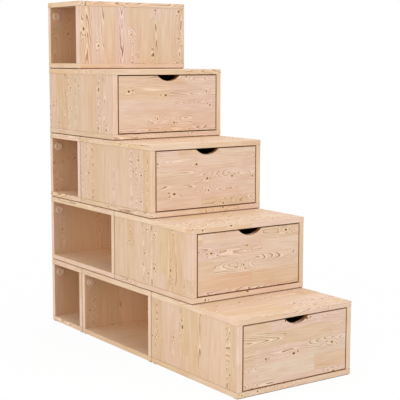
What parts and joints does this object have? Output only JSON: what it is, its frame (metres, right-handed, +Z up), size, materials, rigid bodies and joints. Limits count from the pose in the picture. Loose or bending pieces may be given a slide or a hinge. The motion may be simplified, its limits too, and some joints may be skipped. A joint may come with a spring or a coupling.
{
  "type": "step chest",
  "caption": "Stair-shaped storage chest stacked from pine boxes: open shelves at the side and drawers with finger notches in the front.",
  "frame": {"origin": "on the floor, under the middle of the whole chest", "axes": "+X across the steps, from the shelves' open side to the closed side; drawers face -Y and the steps climb towards +Y; +Z up"},
  "size_m": [0.47, 1.2224, 1.25],
  "materials": {
    "pine_board": "knotty finger-jointed pine, sanded and unlacquered",
    "pine_front": "knotty finger-jointed pine with level grain",
    "thin_panel": "thin pine plywood",
    "drawer_pine": "planed pine",
    "beech": "planed beech",
    "felt": "pressed brown wool felt",
    "rosette_plastic": "beige moulded plastic",
    "steel": "zinc-plated steel"
  },
  "bodies": {
    "case": {"step1_rear_shelf_top": "pine_board", "step1_rear_shelf_base": "pine_board", "step1_rear_shelf_ends": "pine_board", "step1_rear_shelf_back": "thin_panel", "step1_middle_shelf_top": "pine_board", "step1_middle_shelf_base": "pine_board", "step1_middle_shelf_ends": "pine_board", "step1_middle_shelf_back": "thin_panel", "step2_shelf_top": "pine_board", "step2_shelf_base": "pine_board", "step2_shelf_ends": "pine_board", "step2_shelf_back": "thin_panel", "step3_shelf_top": "pine_board", "step3_shelf_base": "pine_board", "step3_shelf_ends": "pine_board", "step3_shelf_back": "thin_panel", "step5_shelf_top": "pine_board", "step5_shelf_base": "pine_board", "step5_shelf_ends": "pine_board", "step5_shelf_back": "thin_panel", "step1_case_top": "pine_board", "step1_case_base": "pine_board", "step1_case_sides": "pine_board", "step1_case_back": "thin_panel", "step1_case_runners": "beech", "step2_case_top": "pine_board", "step2_case_base": "pine_board", "step2_case_sides": "pine_board", "step2_case_back": "thin_panel", "step2_case_runners": "beech", "step3_case_top": "pine_board", "step3_case_base": "pine_board", "step3_case_sides": "pine_board", "step3_case_back": "thin_panel", "step3_case_runners": "beech", "step4_case_top": "pine_board", "step4_case_base": "pine_board", "step4_case_sides": "pine_board", "step4_case_back": "thin_panel", "step4_case_runners": "beech", "felt_pads": "felt", "stacking_keys": "beech", "fixing_rosettes": "rosette_plastic", "connector_bolt": "steel"},
    "step1_drawer": {"step1_drawer_front": "pine_front", "step1_drawer_sides": "drawer_pine", "step1_drawer_back": "drawer_pine", "step1_drawer_bottom": "thin_panel"},
    "step2_drawer": {"step2_drawer_front": "pine_front", "step2_drawer_sides": "drawer_pine", "step2_drawer_back": "drawer_pine", "step2_drawer_bottom": "thin_panel"},
    "step3_drawer": {"step3_drawer_front": "pine_front", "step3_drawer_sides": "drawer_pine", "step3_drawer_back": "drawer_pine", "step3_drawer_bottom": "thin_panel"},
    "step4_drawer": {"step4_drawer_front": "pine_front", "step4_drawer_sides": "drawer_pine", "step4_drawer_back": "drawer_pine", "step4_drawer_bottom": "thin_panel"}
  },
  "joints": [
    {"name": "step1_drawer_slide", "type": "slide", "parent": "case", "child": "step1_drawer", "axis": [0, -1, 0], "range_m": [0, 0.33]},
    {"name": "step2_drawer_slide", "type": "slide", "parent": "case", "child": "step2_drawer", "axis": [0, -1, 0], "range_m": [0, 0.33]},
    {"name": "step3_drawer_slide", "type": "slide", "parent": "case", "child": "step3_drawer", "axis": [0, -1, 0], "range_m": [0, 0.33]},
    {"name": "step4_drawer_slide", "type": "slide", "parent": "case", "child": "step4_drawer", "axis": [0, -1, 0], "range_m": [0, 0.33]}
  ]
}
